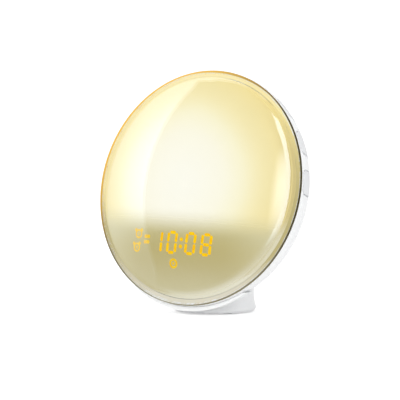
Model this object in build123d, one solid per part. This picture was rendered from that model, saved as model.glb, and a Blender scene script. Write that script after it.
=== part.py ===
from build123d import *
import os
from math import atan, asin, cos, hypot, radians, sin, sqrt, tan

os.makedirs("parts", exist_ok=True)

# Sunrise alarm clock, in millimetres.
# The face frame has X to the right, Y up the face and Z out of the face, with Z = 0 at the rim of
# the front dome. The whole face leans back by the recline angle when the clock stands on its foot.

# Front dome: a flat cap that turns into a tighter shoulder near the rim
rim_radius = 86.0
dome_height = 24.0
dome_shoulder_radius = 18.0
dome_edge_angle = 60.0
dome_wall = 2.4
dome_edge_band = 1.2
dome_skirt_length = 1.6
dome_skirt_wall = 2.0
skirt_clearance = 0.3

# Stance: how far the face leans back, and how high its lowest point is over the table
recline = 15.0
rim_lift = 7.43
rim_center_height = rim_lift + rim_radius * cos(radians(recline))

# Rear shell: half an ellipsoid with a flat back
shell_overhang = 0.3
shell_depth = 52.0
shell_wall = 2.5
back_flat_cut = 6.0
back_flat_setback = shell_depth - back_flat_cut

# Light chamber behind the dome
diffuser_gap = 0.4
diffuser_wall = 1.4
diffuser_rim_gap = 0.45
reflector_wall = 1.8
reflector_top = 1.0
reflector_foot_inset = 5.4
reflector_dome_gap = 0.5
baffle_y = -26.0
baffle_thickness = 1.6
chamber_clearance = 0.2

# Boards and the carrier that holds them
board_thickness = 1.6
light_board_front = -6.0
light_board_edge_inset = 14.0
light_board_radius = rim_radius - light_board_edge_inset
carrier_standoff = 2.0
carrier_thickness = 2.0
carrier_radius = light_board_radius - 4 * carrier_standoff
carrier_ear_radius = 5.5
boss_ring_inset = 20.0
boss_ring_radius = rim_radius - boss_ring_inset
boss_angles = (90, 200, 270, 340)
boss_radius = 4.5
board_screw_ring = 50.0
board_screw_angles = (45, 165, 195, 345)

# Light sources on the light board
led_size = 5.0
led_height = 1.6
led_lens_radius = 1.8
led_lens_depth = 0.4
led_edge_inset = 14.0
led_ring_pitch = 17.0
led_ring_counts = (8, 14, 20)
led_baffle_margin = 6.0

# Clock display: a skin that follows the dome under its lower part, on walls round the digits
display_x = 0.7
display_y = -43.1
display_skin = 2.0
display_wall = 1.6
display_half_width = 48.0
display_up = 12.4
display_down = 20.6
digit_height = 16.5
digit_width = 9.2
digit_lean = 7.5
segment_width = 2.3
segment_corner_gap = 2.0
segment_end_gap = 0.25
digit_pitch = 13.0
digit_pair_gap = 15.9
colon_rise = 2.5
colon_dot_radius = 1.4
mark_radius = 3.3
mark_line = 1.3
alarm_mark_x = (-39.1, -41.1)
alarm_mark_y = (5.0, -4.5)
half_day_x = (-30.9, -31.4)
half_day_y = (3.4, -0.5)
half_day_width = 5.4
half_day_height = 2.5
sun_mark_x = -6.7
sun_mark_y = -14.7
sun_mark_radius = 3.6
sun_mark_line = 1.7
sun_mark_center_radius = 1.0
bell_radius = 1.3
bell_spread = 2.75
mark_stroke = 2.4
mark_stroke_width = 0.8
mark_stroke_pitch = 1.3
display_led_width = 3.2
display_led_depth = 1.6
display_led_height = 1.1
display_led_rows = (-5.0, 0.0, 5.0)

# Side keys
key_first_angle = 6.7
key_pitch = 20.3
key_count = 3
key_length = 17.0
key_width = 13.4
key_corner = 3.0
key_proud = 0.2
key_groove_width = 0.9
key_groove_depth = 1.0
key_clearance = 0.25
key_travel = 0.6
key_flange_lip = 1.2
key_flange_thickness = 1.2
key_rest_gap = 0.1
key_window_reach = 4.0
switch_width = 6.0
switch_depth = 4.5
switch_height = 5.0
plunger_radius = 1.5

# Main board and what it carries
main_board_setback = 16.0
main_board_front = main_board_setback - back_flat_setback
main_board_top = -4.0
main_board_bottom = -44.0
main_board_half_width = 44.0
main_screw_inset = 6.0
main_screw_bite = 6.0
chip_height = 1.6
chip_places = ((-14.0, -33.0, 12.0, 12.0), (4.0, -34.0, 6.0, 8.0), (-26.0, -14.0, 8.0, 6.0),
               (24.0, -12.0, 5.0, 5.0))
capacitor_radius = 4.0
capacitor_height = 9.0
capacitor_places = ((30.0, -20.0), (20.0, -32.0), (31.0, -32.0))
socket_y = -10.0
socket_x = 22.0
jack_side = 9.0
jack_bore_radius = 3.2
jack_bore_depth = 9.0
jack_pin_radius = 1.0
usb_width = 13.2
usb_height = 5.8
usb_shell_wall = 0.5
usb_slot_depth = 10.0
socket_opening_margin = 0.4
ribbon_width = 16.0
ribbon_thickness = 0.8
ribbon_y = -20.0
ribbon_connector_height = 3.0
ribbon_connector_margin = 2.0

# Speaker behind the grille
speaker_y = 17.0
speaker_radius = 19.5
speaker_rim = 3.0
gasket_thickness = 0.8
speaker_flange = 1.2
basket_depth = 8.5
basket_back_radius = 9.0
magnet_radius = 9.0
magnet_depth = 6.0
cone_wall = 0.6
cone_back_radius = 5.0
collar_gap = 0.3
collar_wall = 1.5
collar_height = 2.5
grille_hole_radius = 1.2
grille_pitch = 4.5
grille_rings = 3

# Backup battery well and its cover in the flat back
battery_y = -26.8
cover_width = 24.0
cover_height = 23.2
cover_thickness = 2.0
cover_corner = 2.0
cover_clearance = 0.3
cover_seat_gap = 0.1
ledge_width = 1.2
well_wall = 1.4
well_floor = 1.5
cell_radius = 10.0
cell_height = 3.2
contact_thickness = 0.4
press_rib_radius = 3.0
press_rib_gap = 0.3
tab_width = 4.0
tab_spacing = 14.0
tab_reach = 1.2
tab_thickness = 1.0
tab_room = 0.6

# Foot: a crescent collar round the underside that runs into a flared pedestal
collar_setback = 5.0
foot_collar_length = 12.0
foot_collar_depth = 17.0
foot_collar_proud = 3.3
foot_collar_top = 18.5
crescent_drop = 9.5
foot_center_y = 17.8
foot_radius = 30.0
foot_waist = 1.4
foot_waist_height = 10.0
foot_edge_round = 3.0
foot_height = 24.0
foot_tail_height = 7.0
foot_tail_start_y = 20.0
foot_seat_gap = 0.15
pad_radius = 4.5
pad_thickness = 1.6
pad_proud = 0.6
pad_places = ((-17.0, 8.0), (17.0, 8.0), (-13.0, 37.0), (13.0, 37.0))
foot_screw_x = 14.0
foot_screw_y = 20.0
foot_screw_head_z = 8.0
foot_boss_radius = 4.0
foot_boss_rise = 6.0

# Fasteners
screw_radius = 1.4
screw_head_radius = 2.8
screw_head_height = 1.8
screw_hole_clearance = 0.1
screw_pass_clearance = 0.3
screw_length = 9.0
cross_width = 0.8
cross_depth = 0.8


# ---- shapes that many pieces share ----

edge_angle = radians(dome_edge_angle)
shoulder_base = rim_radius - dome_shoulder_radius * sin(edge_angle)
shoulder_level = -dome_shoulder_radius * cos(edge_angle)
cap_rise = dome_height - dome_shoulder_radius * (1 - cos(edge_angle))
blend_angle = 2 * atan(cap_rise / shoulder_base)
cap_radius = shoulder_base / sin(blend_angle) + dome_shoulder_radius
cap_level = dome_height - cap_radius


def dome_point(inset, angle):
    """A point (radius, z) of the dome curve moved inwards by inset, where its normal leans by angle."""
    if angle < blend_angle:
        return ((cap_radius - inset) * sin(angle), cap_level + (cap_radius - inset) * cos(angle))
    tight = dome_shoulder_radius - inset
    return (shoulder_base + tight * sin(angle), shoulder_level + tight * cos(angle))


def dome_angle_at(inset, radius):
    """The normal's lean where the inset shoulder has this radius."""
    return asin((radius - shoulder_base) / (dome_shoulder_radius - inset))


def dome_curve(inset, end_angle):
    """The cap arc and the shoulder arc, from the apex outwards."""
    cap = ThreePointArc(*(dome_point(inset, blend_angle * share) for share in (0, 0.5, 1)))
    span = end_angle - blend_angle
    shoulder = ThreePointArc(*(dome_point(inset, blend_angle + span * share) for share in (0, 0.5, 1)))
    return [cap, shoulder]


def turned(edges):
    """A solid of revolution about Z from edges drawn as (radius, z)."""
    return revolve(Plane.XZ * make_face(edges), Axis.Z)


def turned_polygon(*points):
    return turned(Polyline(*points, close=True).edges())


def dome_inside(inset, floor):
    """Everything under the dome curve moved inwards by inset, down to the floor."""
    end = dome_point(inset, edge_angle)
    apex = dome_point(inset, 0)
    sides = Polyline(end, (end[0], floor), (0, floor), apex)
    return turned(dome_curve(inset, edge_angle) + list(sides.edges()))


def bowl(radius, depth, back):
    """Half an ellipsoid that opens at the shell's front edge and is cut flat at the back."""
    front = -dome_edge_band
    half = Pos(0, front) * Ellipse(radius, depth)
    window = Pos(radius, (front + back) / 2) * Rectangle(2 * radius, front - back)
    return revolve(Plane.XZ * (half & window), Axis.Z)


def bowl_radius(radius, depth, z):
    return radius * sqrt(1 - ((-z - dome_edge_band) / depth) ** 2)


def disc(radius, front, back):
    return Pos(0, 0, (front + back) / 2) * Cylinder(radius, front - back)


def block(x0, x1, y0, y1, back, front):
    size = Box(x1 - x0, y1 - y0, front - back)
    return Pos((x0 + x1) / 2, (y0 + y1) / 2, (back + front) / 2) * size


def plate(outline, back, front):
    return Pos(0, 0, back) * extrude(outline, front - back)


def on_ring(radius, angle):
    return (radius * cos(radians(angle)), radius * sin(radians(angle)))


def group(solids):
    return Compound(list(solids))


def placed(where, shape):
    """Each of the shape's solids moved to its place, one by one."""
    solids = [where * solid for solid in shape.solids()]
    return solids[0] if len(solids) == 1 else group(solids)


def screw(length=screw_length):
    """A pan-head screw on the Z axis, with its head's underside at Z = 0 and its shank below."""
    head = Pos(0, 0, screw_head_height / 2) * Cylinder(screw_head_radius, screw_head_height)
    crown = [edge for edge in head.edges() if edge.center().Z > screw_head_height * 0.9]
    head = fillet(crown, screw_head_height * 0.4)
    shank = Pos(0, 0, -length / 2) * Cylinder(screw_radius, length)
    cross = Box(cross_width, 2 * screw_radius, 2 * cross_depth)
    cross += Box(2 * screw_radius, cross_width, 2 * cross_depth)
    return (head + shank) - Pos(0, 0, screw_head_height) * cross


def pilot(length=screw_length):
    """The hole that a screw bites into, open at Z = 0."""
    deep = length + screw_radius
    return Pos(0, 0, -deep / 2) * Cylinder(screw_radius + screw_hole_clearance, deep)


# ---- levels that follow from the sizes above ----

shell_radius = rim_radius + shell_overhang
shell_inner_radius = shell_radius - shell_wall
shell_inner_depth = shell_depth - shell_wall
back_outside = -back_flat_setback
back_inside = back_outside + shell_wall
skirt_outer = shell_inner_radius - skirt_clearance
skirt_inner = skirt_outer - dome_skirt_wall
skirt_end = -dome_edge_band - dome_skirt_length
light_board_back = light_board_front - board_thickness
carrier_front = light_board_back - carrier_standoff
carrier_back = carrier_front - carrier_thickness
main_board_back = main_board_front - board_thickness
switch_level = light_board_back - switch_height / 2
reflector_outer = skirt_inner - reflector_dome_gap

shell_outside = bowl(shell_radius, shell_depth, back_outside)
shell_inside = bowl(shell_inner_radius, shell_inner_depth, back_inside)


# ---- front dome and the light chamber ----

def make_front_dome():
    """The glossy front: a domed skin, an edge band that shows round the rim and a skirt that locates it."""
    inner_end = dome_angle_at(dome_wall, skirt_inner)
    rim = Polyline(dome_point(0, edge_angle), (rim_radius, -dome_edge_band), (skirt_outer, -dome_edge_band),
                   (skirt_outer, skirt_end), (skirt_inner, skirt_end), dome_point(dome_wall, inner_end))
    axis_line = Line(dome_point(dome_wall, 0), dome_point(0, 0))
    edges = dome_curve(0, edge_angle) + list(rim.edges()) + dome_curve(dome_wall, inner_end) + [axis_line]
    return turned(edges)


reflector_inner = reflector_outer - reflector_wall
chamber_inner = reflector_inner - chamber_clearance
diffuser_radius = chamber_inner
diffuser_inset = dome_wall + diffuser_gap


def make_reflector_ring():
    """A white ring that slopes from the light board's edge up to the dome's shoulder."""
    foot_inner = light_board_radius - reflector_foot_inset
    return turned_polygon((foot_inner, light_board_front), (foot_inner + reflector_wall, light_board_front),
                          (reflector_outer, -dome_edge_band), (reflector_outer, reflector_top),
                          (reflector_inner, reflector_top), (reflector_inner, -dome_edge_band))


def make_chamber():
    """The clear space inside the reflector ring and under the diffuser."""
    base_radius = light_board_radius - reflector_foot_inset - chamber_clearance
    top = dome_height
    funnel = turned_polygon((0, light_board_front), (base_radius, light_board_front),
                            (chamber_inner, -dome_edge_band), (chamber_inner, top), (0, top))
    return funnel & dome_inside(diffuser_inset, light_board_front - 1)


chamber = make_chamber()
baffle_top = baffle_y + baffle_thickness / 2


def make_light_diffuser():
    """An opal skin that follows the dome over the light chamber and ends at the baffle."""
    skin = dome_inside(diffuser_inset, light_board_front)
    skin -= dome_inside(diffuser_inset + diffuser_wall, light_board_front - 1)
    above = block(-rim_radius, rim_radius, baffle_top + chamber_clearance, rim_radius,
                  reflector_top + diffuser_rim_gap, dome_height)
    return skin & disc(diffuser_radius, dome_height, light_board_front) & above


def make_light_baffle():
    """The partition that keeps the sunrise light out of the display's part of the face."""
    slab = block(-rim_radius, rim_radius, baffle_y - baffle_thickness / 2, baffle_top,
                 light_board_front, dome_height)
    return slab & chamber


# ---- light board and its carrier ----

def make_light_board():
    board = disc(light_board_radius, light_board_front, light_board_back)
    for angle in board_screw_angles:
        x, y = on_ring(board_screw_ring, angle)
        board -= Pos(x, y, 0) * disc(screw_radius + screw_pass_clearance, light_board_front, light_board_back)
    return board


def make_sunrise_leds():
    """Square light sources in rings, on the part of the board above the baffle."""
    solids = []
    for inwards, count in enumerate(reversed(led_ring_counts)):
        radius = light_board_radius - led_edge_inset - inwards * led_ring_pitch
        for index in range(count):
            x, y = on_ring(radius, 90 + 360 * index / count)
            if y < baffle_top + led_baffle_margin:
                continue
            led = block(x - led_size / 2, x + led_size / 2, y - led_size / 2, y + led_size / 2,
                        light_board_front, light_board_front + led_height)
            led_front = light_board_front + led_height
            solids.append(led - Pos(x, y, 0) * disc(led_lens_radius, led_front, led_front - led_lens_depth))
    return group(solids)


def make_board_carrier():
    """A plate behind the light board, with ears that are screwed to the shell's bosses."""
    carrier = disc(carrier_radius, carrier_front, carrier_back)
    for angle in boss_angles:
        x, y = on_ring(boss_ring_radius, angle)
        carrier += Pos(x, y, 0) * disc(carrier_ear_radius, carrier_front, carrier_back)
        carrier += Rot(0, 0, angle) * block(carrier_radius / 2, boss_ring_radius, -boss_radius, boss_radius,
                                            carrier_back, carrier_front)
    for angle in board_screw_angles:
        x, y = on_ring(board_screw_ring, angle)
        carrier += Pos(x, y, 0) * disc(boss_radius, light_board_back, carrier_back)
    for angle in boss_angles:
        x, y = on_ring(boss_ring_radius, angle)
        carrier -= Pos(x, y, 0) * disc(screw_radius + screw_pass_clearance, carrier_front, carrier_back)
    for angle in board_screw_angles:
        x, y = on_ring(board_screw_ring, angle)
        carrier -= Pos(x, y, 0) * disc(screw_radius + screw_hole_clearance, light_board_back, carrier_back)
    half = ribbon_width / 2 + 2 * ribbon_connector_margin
    deep = ribbon_connector_margin * 2
    return carrier - block(-half, half, ribbon_y - deep, ribbon_y + deep, carrier_back, carrier_front)


def make_carrier_screws():
    return group(Pos(*on_ring(boss_ring_radius, angle), carrier_front) * screw() for angle in boss_angles)


def make_light_board_screws():
    length = board_thickness + carrier_standoff + carrier_thickness
    return group(Pos(*on_ring(board_screw_ring, angle), light_board_front) * screw(length)
                 for angle in board_screw_angles)


# ---- clock display ----

def bar(x, y, length, width, turn=0):
    return Pos(x, y) * Rot(0, 0, turn) * SlotOverall(length, width)


def segment_outlines():
    """The seven bars of a leaning digit, from the top one clockwise and the middle one last."""
    half_x = (digit_width - segment_width) / 2
    half_y = (digit_height - segment_width) / 2
    across = 2 * half_x - segment_corner_gap
    upright = half_y - 2 * segment_end_gap
    lean = tan(radians(digit_lean))

    def level(y):
        return bar(y * lean, y, across, segment_width)

    def standing_bar(x, y):
        return bar(x + y * lean, y, upright, segment_width, 90 - digit_lean)

    return [level(half_y), standing_bar(half_x, half_y / 2), standing_bar(half_x, -half_y / 2), level(-half_y),
            standing_bar(-half_x, -half_y / 2), standing_bar(-half_x, half_y / 2), level(0)]


lit_segments = {"0": (0, 1, 2, 3, 4, 5), "1": (1, 2), "8": (0, 1, 2, 3, 4, 5, 6)}
digit_places = (-digit_pitch - digit_pair_gap / 2, -digit_pair_gap / 2,
                digit_pair_gap / 2, digit_pair_gap / 2 + digit_pitch)
shown_time = "1008"


def make_display_skin():
    """A moulded skin that follows the dome from the baffle down to the rim, over the whole lower part."""
    skin = dome_inside(diffuser_inset, light_board_front)
    skin -= dome_inside(diffuser_inset + display_skin, light_board_front - 1)
    below = block(-rim_radius, rim_radius, -rim_radius, baffle_y - baffle_thickness / 2 - chamber_clearance,
                  reflector_top + diffuser_rim_gap, dome_height)
    return skin & disc(diffuser_radius, dome_height, light_board_front) & below


display_front = make_display_skin()


def guide_slot(outline, x, y):
    """A prism through the display's skin."""
    return plate(Pos(display_x + x, display_y + y) * outline, reflector_top, dome_height)


def light_guides(slots):
    """Bars of clear plastic that fill their slots in the display's skin."""
    return group(slot & display_front for slot in slots)


def digit_slots(lit):
    slots = []
    for place, shown in zip(digit_places, shown_time):
        for index, outline in enumerate(segment_outlines()):
            if (index in lit_segments[shown]) == lit:
                slots.append(guide_slot(outline, place, 0))
    return slots


def colon_slots():
    lean = tan(radians(digit_lean))
    return [guide_slot(Circle(colon_dot_radius), rise * lean, rise) for rise in (colon_rise, -colon_rise)]


def alarm_mark(strokes):
    """A small alarm clock: a round case with two bells on it, and one or two strokes inside."""
    case = Circle(mark_radius)
    for side in (-1, 1):
        case += Pos(side * bell_spread, bell_spread) * Circle(bell_radius)
    case -= Circle(mark_radius - mark_line)
    inner = [bar((index - (strokes - 1) / 2) * mark_stroke_pitch, 0, mark_stroke, mark_stroke_width, 90)
             for index in range(strokes)]
    return [case] + inner


def sun_mark():
    """A round mark with a bright centre, for the sunrise light."""
    ring = Circle(sun_mark_radius) - Circle(sun_mark_radius - sun_mark_line)
    return [ring, Circle(sun_mark_center_radius)]


def mark_slots():
    slots = []
    for strokes, (x, y) in enumerate(zip(alarm_mark_x, alarm_mark_y), start=1):
        slots += [guide_slot(outline, x, y) for outline in alarm_mark(strokes)]
    for x, y in zip(half_day_x, half_day_y):
        slots.append(guide_slot(RectangleRounded(half_day_width, half_day_height, half_day_height * 0.3), x, y))
    return slots + [guide_slot(outline, sun_mark_x, sun_mark_y) for outline in sun_mark()]


def make_display_housing(slots):
    """The display's skin on four walls that stand on the light board, with a slot for each light guide."""
    low, high = display_y - display_down, display_y + display_up
    across, wall = display_half_width, display_wall
    walls = block(-across, across, low, high, light_board_front, dome_height)
    walls -= block(wall - across, across - wall, low + wall, high - wall, light_board_front, dome_height)
    housing = display_front + (walls & chamber & dome_inside(diffuser_inset + display_skin / 2, -shell_depth))
    for slot in slots:
        housing -= slot
    return housing


def make_display_leds():
    """A row of small light sources under each digit and one under each mark."""
    places = [(place, y) for place in digit_places for y in display_led_rows]
    places += [(0, 0), (half_day_x[0], sum(half_day_y) / 2), (sun_mark_x, sun_mark_y)]
    places += list(zip(alarm_mark_x, alarm_mark_y))
    half_x, half_y = display_led_width / 2, display_led_depth / 2
    solids = []
    for x, y in places:
        cx, cy = display_x + x, display_y + y
        solids.append(block(cx - half_x, cx + half_x, cy - half_y, cy + half_y, light_board_front,
                            light_board_front + display_led_height))
    return group(solids)


# ---- side keys and their switches ----

key_angles = [key_first_angle + index * key_pitch for index in range(key_count)]
side_angles = {"right": key_angles, "left": [180 - angle for angle in key_angles]}
key_front = switch_level + key_width / 2
key_rear = switch_level - key_width / 2
flange_rear = key_rear - key_flange_lip
flange_half = key_length / 2 + key_flange_lip
stop_radius = sqrt(bowl_radius(shell_inner_radius, shell_inner_depth, flange_rear) ** 2 - flange_half ** 2)
flange_outer = stop_radius - cover_clearance
key_back = flange_outer - key_flange_thickness
plunger_tip = key_back - key_travel - key_rest_gap
beyond_shell = shell_radius + key_window_reach
switch_outer = plunger_tip - plunger_radius * 1.6


def radial(angle, inner, outer, front, rear, half, corner):
    """A prism that points out along a radius, between two z levels and two half widths."""
    outline = RectangleRounded(front - rear, 2 * half, corner) if corner else Rectangle(front - rear, 2 * half)
    prism = Pos(inner, 0, (front + rear) / 2) * Rot(0, 90, 0) * extrude(outline, outer - inner)
    return Rot(0, 0, angle) * prism


def make_key(angle):
    """A key cap that follows the shell's curve, with a flange behind the shell's wall."""
    cap = radial(angle, key_back, beyond_shell, key_front, key_rear, key_length / 2, key_corner)
    cap &= bowl(shell_radius + key_proud, shell_depth + key_proud, back_outside)
    flange = radial(angle, key_back, flange_outer, key_front, flange_rear, flange_half, 0)
    return cap + flange


def key_window(angle, grow=key_clearance):
    """The opening round a key, or with more growth the outline of the shallow groove round it."""
    return radial(angle, key_back, beyond_shell, key_front + grow, key_rear - grow,
                  key_length / 2 + grow, key_corner + grow)


def make_side_switches():
    """Right-angle switches on the back of the light board, one behind each key."""
    solids = []
    for angles in side_angles.values():
        for angle in angles:
            body = radial(angle, switch_outer - switch_depth, switch_outer, light_board_back,
                          light_board_back - switch_height, switch_width / 2, 0)
            solids.append(body)
    return group(solids)


def make_switch_plungers():
    solids = []
    for angles in side_angles.values():
        for angle in angles:
            stem = Pos(switch_outer, 0, switch_level) * Rot(0, 90, 0) * extrude(
                Circle(plunger_radius), plunger_tip - switch_outer)
            solids.append(Rot(0, 0, angle) * stem)
    return group(solids)


# ---- rear shell ----

cover_inside = back_outside + cover_thickness
well_half_x = cover_width / 2 - ledge_width
well_half_y = cover_height / 2 - ledge_width
cell_seat = cover_inside + press_rib_radius + cell_height + contact_thickness
well_top = cell_seat + well_floor


def battery_area(grow_x, grow_y, back, front):
    half_x = cover_width / 2 + grow_x
    half_y = cover_height / 2 + grow_y
    return block(-half_x, half_x, battery_y - half_y, battery_y + half_y, back, front)


tab_places = [side * tab_spacing / 2 for side in (-1, 1)]
cover_hinge_y = battery_y - cover_height / 2


def tab_slot(x):
    """Room behind the back wall for a cover tab to hook in and swing out."""
    half = tab_width / 2 + tab_room
    return block(x - half, x + half, cover_hinge_y - tab_reach - tab_room, cover_hinge_y + 3 * tab_reach,
                 cover_inside - cover_seat_gap, cover_inside + tab_thickness + tab_room)


def make_rear_shell():
    shell = shell_outside - shell_inside

    # bosses for the carrier, the main board and the battery well
    for angle in boss_angles:
        x, y = on_ring(boss_ring_radius, angle)
        post = Pos(x, y, 0) * disc(boss_radius, carrier_back, back_inside)
        shell += post & shell_outside
        shell -= Pos(x, y, carrier_back) * pilot()
    for x, y in main_screw_places:
        post = Pos(x, y, 0) * disc(boss_radius, main_board_back, back_inside)
        shell += post & shell_outside
        shell -= Pos(x, y, main_board_back) * pilot(main_screw_bite)
    well = battery_area(well_wall, well_wall, back_inside - shell_wall / 2, well_top)
    shell += well
    shell -= block(-well_half_x, well_half_x, battery_y - well_half_y, battery_y + well_half_y,
                   back_outside, cell_seat)
    shell -= battery_area(cover_clearance, cover_clearance, back_outside - 1, cover_inside)
    for x in tab_places:
        shell -= tab_slot(x)

    # speaker collar and grille
    ring_inner = speaker_radius + collar_gap
    ring = Circle(ring_inner + collar_wall) - Circle(ring_inner)
    shell += plate(Pos(0, speaker_y) * ring, back_inside - shell_wall / 2, back_inside + collar_height)
    for x, y in grille_places():
        shell -= Pos(x, speaker_y + y, 0) * disc(grille_hole_radius, back_inside, back_outside)

    # socket openings and key windows
    margin = socket_opening_margin
    shell -= Pos(-socket_x, socket_y, 0) * disc(jack_bore_radius + margin, back_inside, back_outside)
    shell -= block(socket_x - usb_width / 2 - margin, socket_x + usb_width / 2 + margin,
                   socket_y - usb_height / 2 - margin, socket_y + usb_height / 2 + margin,
                   back_outside, back_inside)
    groove_floor = bowl(shell_radius - key_groove_depth, shell_depth - key_groove_depth, back_inside)
    for angles in side_angles.values():
        for angle in angles:
            shell -= key_window(angle)
            shell -= key_window(angle, key_clearance + key_groove_width) - groove_floor
    return shell


def grille_places():
    places = [(0, 0)]
    for ring in range(1, grille_rings + 1):
        places += [on_ring(ring * grille_pitch, 360 * index / (6 * ring)) for index in range(6 * ring)]
    return places


# ---- main board, sockets and ribbon ----

main_screw_places = [(x, y) for x in (main_screw_inset - main_board_half_width,
                                      main_board_half_width - main_screw_inset)
                     for y in (main_board_top - main_screw_inset, main_board_bottom + main_screw_inset)]
main_screw_length = board_thickness + main_screw_bite


def make_main_board():
    board = block(-main_board_half_width, main_board_half_width, main_board_bottom, main_board_top,
                  main_board_back, main_board_front)
    for x, y in main_screw_places:
        board -= Pos(x, y, 0) * disc(screw_radius + screw_pass_clearance, main_board_front, main_board_back)
    return board


def make_main_board_screws():
    return group(Pos(x, y, main_board_front) * screw(main_screw_length) for x, y in main_screw_places)


def make_control_chips():
    return group(block(x - w / 2, x + w / 2, y - h / 2, y + h / 2, main_board_front,
                       main_board_front + chip_height) for x, y, w, h in chip_places)


def make_capacitors():
    return group(Pos(x, y, 0) * disc(capacitor_radius, main_board_front + capacitor_height, main_board_front)
                 for x, y in capacitor_places)


def make_power_inlet():
    """The housing of the round low-voltage inlet, with its bore facing back."""
    half = jack_side / 2
    body = block(-socket_x - half, -socket_x + half, socket_y - half, socket_y + half,
                 back_inside, main_board_back)
    return body - Pos(-socket_x, socket_y, 0) * disc(jack_bore_radius, back_inside + jack_bore_depth, back_inside)


def make_power_inlet_pin():
    return Pos(-socket_x, socket_y, 0) * disc(jack_pin_radius, back_inside + jack_bore_depth,
                                              back_inside + jack_pin_radius)


def make_usb_socket():
    """The metal shell of the charging socket."""
    half_x, half_y = usb_width / 2, usb_height / 2
    shell = block(socket_x - half_x, socket_x + half_x, socket_y - half_y, socket_y + half_y,
                  back_inside, main_board_back)
    wall = usb_shell_wall
    return shell - block(socket_x - half_x + wall, socket_x + half_x - wall, socket_y - half_y + wall,
                         socket_y + half_y - wall, back_inside, back_inside + usb_slot_depth)


def make_usb_tongue():
    half_x = usb_width / 2 - 3 * usb_shell_wall
    low = socket_y + usb_shell_wall / 2
    return block(socket_x - half_x, socket_x + half_x, low, low + 3.4 * usb_shell_wall,
                 back_inside + 2 * usb_shell_wall, back_inside + usb_slot_depth)


ribbon_front = light_board_back - ribbon_connector_height
ribbon_back = main_board_front + ribbon_connector_height


def make_ribbon_connectors():
    half_x = ribbon_width / 2 + ribbon_connector_margin
    half_y = ribbon_connector_margin
    return group([block(-half_x, half_x, ribbon_y - half_y, ribbon_y + half_y, ribbon_front, light_board_back),
                  block(-half_x, half_x, ribbon_y - half_y, ribbon_y + half_y, main_board_front, ribbon_back)])


def make_board_ribbon():
    half = ribbon_thickness / 2
    return block(-ribbon_width / 2, ribbon_width / 2, ribbon_y - half, ribbon_y + half, ribbon_back, ribbon_front)


# ---- speaker ----

flange_back = back_inside + gasket_thickness
flange_front = flange_back + speaker_flange
basket_front = flange_front + basket_depth


def make_speaker_gasket():
    ring = Circle(speaker_radius) - Circle(speaker_radius - speaker_rim)
    return plate(Pos(0, speaker_y) * ring, back_inside, flange_back)


def make_speaker_frame():
    """A pressed basket: a flat flange on the gasket and a funnel that narrows to the magnet."""
    open_radius = speaker_radius - speaker_rim
    wall = speaker_flange
    funnel = turned_polygon((open_radius, flange_back), (speaker_radius, flange_back),
                            (speaker_radius, flange_front), (open_radius + wall, flange_front),
                            (basket_back_radius, basket_front), (0, basket_front),
                            (0, basket_front - wall), (basket_back_radius - wall, basket_front - wall),
                            (open_radius, flange_front))
    return Pos(0, speaker_y, 0) * funnel


def make_speaker_cone():
    """The paper cone with a small dust cap at its centre."""
    rim = speaker_radius - speaker_rim - collar_gap
    deep = flange_front + basket_depth * 0.55
    cone = turned_polygon((0, deep), (cone_back_radius, deep), (rim, flange_back + cone_wall),
                          (rim, flange_back), (cone_back_radius, deep - cone_wall), (0, deep - cone_wall))
    return Pos(0, speaker_y, 0) * cone


def make_speaker_magnet():
    return Pos(0, speaker_y, 0) * disc(magnet_radius, basket_front + magnet_depth, basket_front)


# ---- backup cell and its cover ----

def make_backup_cell():
    seat = cell_seat - contact_thickness
    return Pos(0, battery_y, 0) * disc(cell_radius, seat, seat - cell_height)


def make_cell_contacts():
    """A spring plate under the cell and a side plate that touches its rim."""
    half = cell_radius * 0.4
    under = block(-half, half, battery_y - half, battery_y + half, cell_seat - contact_thickness, cell_seat)
    wall_x = -well_half_x
    side = block(wall_x, -cell_radius, battery_y - half, battery_y + half, cell_seat - cell_height, cell_seat)
    return group([under, side])


def make_battery_cover():
    """A flush cover that hooks in by two tabs at its lower edge and swings out."""
    outline = Pos(0, battery_y) * RectangleRounded(cover_width, cover_height, cover_corner)
    cover = plate(outline, back_outside, cover_inside - cover_seat_gap)
    rib_top = cell_seat - contact_thickness - cell_height - press_rib_gap
    cover += Pos(0, battery_y, 0) * disc(press_rib_radius, rib_top, cover_inside - 2 * cover_seat_gap)
    for x in tab_places:
        half = tab_width / 2
        cover += block(x - half, x + half, cover_hinge_y, cover_hinge_y + tab_reach,
                       cover_inside - 2 * cover_seat_gap, cover_inside + tab_thickness)
        cover += block(x - half, x + half, cover_hinge_y - tab_reach, cover_hinge_y + tab_reach,
                       cover_inside, cover_inside + tab_thickness)
    scoop_y = battery_y + cover_height / 2 - 2 * cover_thickness
    scoop = Pos(0, scoop_y, back_outside - cover_thickness) * Sphere(cover_thickness * 1.6)
    return cover - scoop


# ---- foot, in the standing frame: Z up, Y back, above the rim centre's foot point ----

standing = Pos(0, 0, rim_center_height) * Rot(90 - recline, 0, 0)
crescent_radius = shell_radius + foot_collar_proud - crescent_drop
crescent_radius_deep = (bowl_radius(shell_radius, shell_depth, -foot_collar_depth) + foot_collar_proud
                        - crescent_drop)
foot_bottom = pad_proud


def crescent(front, back):
    """A band that follows the shell, thickest at the bottom and running out to nothing at both sides."""
    deep = sqrt(1 - ((crescent_radius_deep) / crescent_radius) ** 2)
    reach = (foot_collar_depth - dome_edge_band) / deep
    band = Pos(0, -crescent_drop, 0) * bowl(crescent_radius, reach, -foot_collar_depth - collar_setback)
    return band & disc(2 * rim_radius, front, back)


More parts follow.
